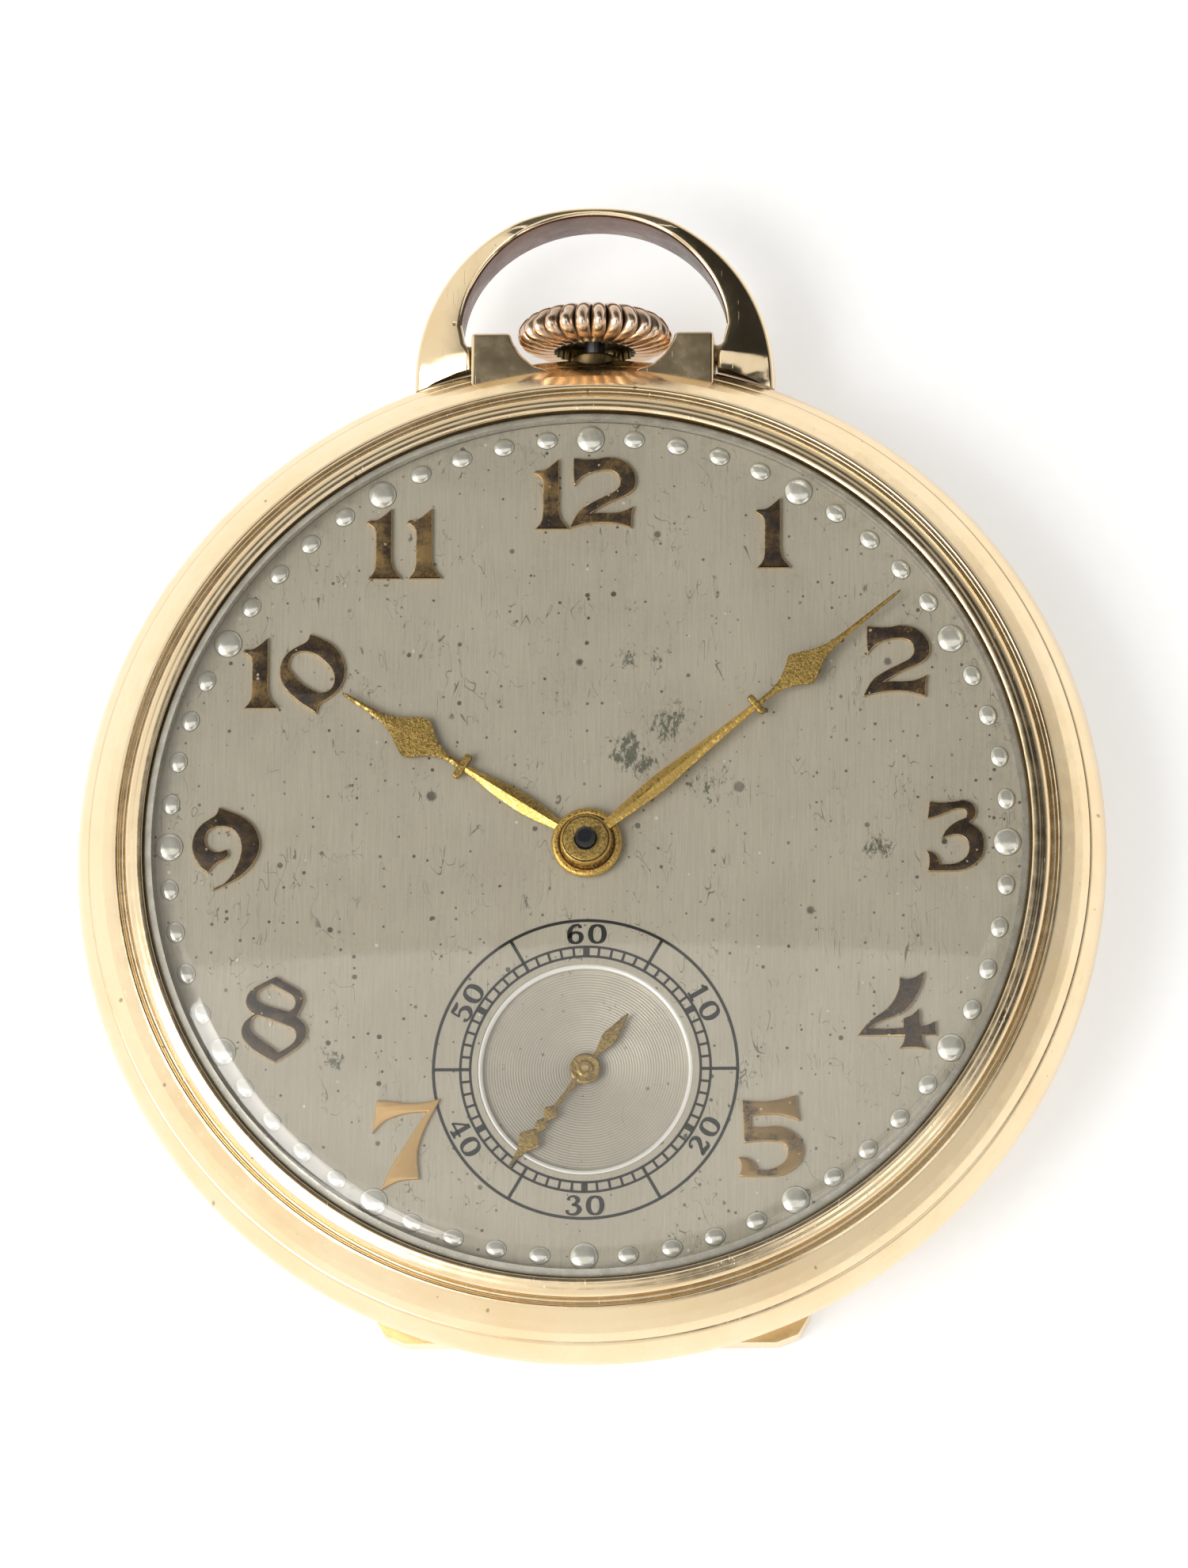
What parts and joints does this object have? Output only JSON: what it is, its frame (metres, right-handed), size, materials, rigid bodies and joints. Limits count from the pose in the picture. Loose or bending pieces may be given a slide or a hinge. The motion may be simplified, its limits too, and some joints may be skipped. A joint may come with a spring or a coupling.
{
  "type": "open face pocket watch",
  "caption": "Round open-faced mechanical pocket watch with stirrup bow, fluted crown, small seconds dial and folding back strut.",
  "frame": {"origin": "centre of the flat case back, on the face that the watch lies on", "axes": "+Z out of the dial, +Y to 12 o'clock and the bow, +X to 3 o'clock"},
  "size_m": [0.0446, 0.0511, 0.0093],
  "materials": {
    "gold_case": "polished, worn gold plate",
    "rose_gold": "worn rose gold plate",
    "gold_hands": "satin gold, tarnished",
    "silvered_dial": "silvered satin, brushed upright",
    "glass": "clear polished",
    "nickel": "damaskeened nickel",
    "brass": "satin",
    "steel": "fine satin",
    "blued_steel": "blued, polished",
    "ruby": "polished ruby"
  },
  "bodies": {
    "case": {"case_center": "gold_case", "bezel": "gold_case", "crystal": "glass", "case_back": "gold_case", "pendant_horn_left": "gold_case", "pendant_horn_right": "gold_case", "bow_pin_left": "gold_case", "bow_pin_right": "gold_case", "pendant_sleeve": "gold_case", "strut_pin": "steel", "dial": "silvered_dial", "main_plate": "nickel", "barrel_bridge": "nickel", "train_bridge": "nickel", "balance_cock": "nickel", "pallet_cock": "nickel", "click_spring": "steel", "bridge_screw_1": "blued_steel", "bridge_screw_2": "blued_steel", "bridge_screw_3": "blued_steel", "bridge_screw_4": "blued_steel", "cock_screw": "blued_steel", "third_jewel": "ruby", "fourth_jewel": "ruby", "escape_jewel": "ruby", "balance_jewel": "ruby"},
    "bow": {"bow": "gold_case"},
    "strut": {"strut": "gold_case"},
    "stem_turn": {"winding_pinion": "steel"},
    "crown": {"crown": "rose_gold", "winding_stem": "steel"},
    "clutch_wheel": {"clutch_wheel": "steel"},
    "setting_lever": {"setting_lever": "steel"},
    "crown_wheel": {"crown_wheel": "steel"},
    "ratchet": {"ratchet_wheel": "steel", "barrel_arbor": "steel"},
    "click": {"click": "steel"},
    "barrel": {"barrel": "brass", "barrel_cover": "brass", "mainspring": "steel"},
    "minute": {"center_wheel": "brass", "cannon_pinion": "steel", "minute_hand": "gold_hands"},
    "minute_wheel": {"minute_wheel": "brass"},
    "setting_wheel": {"setting_wheel": "steel"},
    "hour": {"hour_wheel": "brass", "hour_hand": "gold_hands"},
    "third_wheel": {"third_wheel": "brass"},
    "seconds": {"fourth_wheel": "brass", "seconds_hand": "gold_hands"},
    "escape_wheel": {"escape_wheel": "steel"},
    "pallet_fork": {"pallet_fork": "steel"},
    "balance": {"balance_wheel": "brass", "roller": "steel", "hairspring": "blued_steel"}
  },
  "joints": [
    {"name": "bow_swing", "type": "hinge", "parent": "case", "child": "bow", "pos_m": [0, 0.02245, 0.0044], "axis": [1, 0, 0], "range_deg": [-40, 15]},
    {"name": "strut_fold", "type": "hinge", "parent": "case", "child": "strut", "pos_m": [0, -0.0046, 0.00055], "axis": [1, 0, 0], "range_deg": [0, 55]},
    {"name": "crown_turn", "type": "hinge", "parent": "case", "child": "stem_turn", "pos_m": [0, 0.0138, 0.0044], "axis": [0, 1, 0], "continuous": true},
    {"name": "crown_pull", "type": "slide", "parent": "stem_turn", "child": "crown", "axis": [0, 1, 0], "range_m": [0, 0.0008]},
    {"name": "clutch_slide", "type": "slide", "parent": "stem_turn", "child": "clutch_wheel", "axis": [0, 1, 0], "range_m": [-0.00068, 0]},
    {"name": "setting_lever_turn", "type": "hinge", "parent": "case", "child": "setting_lever", "pos_m": [0.003, 0.01552, 0.0044], "axis": [0, 0, 1], "range_deg": [-18.4, 0]},
    {"name": "crown_wheel_turn", "type": "hinge", "parent": "case", "child": "crown_wheel", "pos_m": [0, 0.01107, 0.0044], "axis": [0, 0, -1], "continuous": true},
    {"name": "ratchet_turn", "type": "hinge", "parent": "case", "child": "ratchet", "pos_m": [0.00655, 0.0055, 0.0044], "axis": [0, 0, -1], "continuous": true},
    {"name": "click_lift", "type": "hinge", "parent": "case", "child": "click", "pos_m": [0.01326, 0.00906, 0.0022], "axis": [0, 0, 1], "range_deg": [-12, 0]},
    {"name": "minute_turn", "type": "hinge", "parent": "case", "child": "minute", "pos_m": [0, 0, 0.0044], "axis": [0, 0, -1], "continuous": true},
    {"name": "hour_turn", "type": "hinge", "parent": "case", "child": "hour", "pos_m": [0, 0, 0.0044], "axis": [0, 0, -1], "continuous": true},
    {"name": "minute_wheel_turn", "type": "hinge", "parent": "case", "child": "minute_wheel", "pos_m": [0, 0.00384, 0.0044], "axis": [0, 0, -1], "continuous": true},
    {"name": "setting_wheel_turn", "type": "hinge", "parent": "case", "child": "setting_wheel", "pos_m": [0, 0.00864, 0.0044], "axis": [0, 0, -1], "continuous": true},
    {"name": "barrel_turn", "type": "hinge", "parent": "case", "child": "barrel", "pos_m": [0.00655, 0.0055, 0.0044], "axis": [0, 0, -1], "continuous": true},
    {"name": "third_turn", "type": "hinge", "parent": "case", "child": "third_wheel", "pos_m": [0.00379, -0.00585, 0.0044], "axis": [0, 0, -1], "continuous": true},
    {"name": "seconds_turn", "type": "hinge", "parent": "case", "child": "seconds", "pos_m": [0, -0.00987, 0.0044], "axis": [0, 0, -1], "continuous": true},
    {"name": "escape_turn", "type": "hinge", "parent": "case", "child": "escape_wheel", "pos_m": [-0.00477, -0.00903, 0.0044], "axis": [0, 0, -1], "continuous": true},
    {"name": "pallet_rock", "type": "hinge", "parent": "case", "child": "pallet_fork", "pos_m": [-0.00683, -0.00608, 0.0044], "axis": [0, 0, 1], "range_deg": [-5, 5]},
    {"name": "balance_swing", "type": "hinge", "parent": "case", "child": "balance", "pos_m": [-0.00907, -0.00289, 0.0044], "axis": [0, 0, 1], "range_deg": [-220, 220], "stiffness_Nm_per_rad": 0.0000011}
  ],
  "couplings": [
    {"joint": "hour_turn", "follows": "minute_turn", "ratio": 0.083333},
    {"joint": "minute_wheel_turn", "follows": "minute_turn", "ratio": -0.33333},
    {"joint": "setting_wheel_turn", "follows": "minute_turn", "ratio": 0.5},
    {"joint": "barrel_turn", "follows": "minute_turn", "ratio": -0.15385},
    {"joint": "third_turn", "follows": "minute_turn", "ratio": -8},
    {"joint": "seconds_turn", "follows": "minute_turn", "ratio": 60},
    {"joint": "escape_turn", "follows": "minute_turn", "ratio": -600},
    {"joint": "crown_wheel_turn", "follows": "crown_turn", "ratio": -0.52941},
    {"joint": "ratchet_turn", "follows": "crown_turn", "ratio": 0.34615},
    {"joint": "clutch_slide", "follows": "crown_pull", "ratio": -0.85},
    {"joint": "setting_lever_turn", "follows": "crown_pull", "rad_per_m": -400}
  ]
}
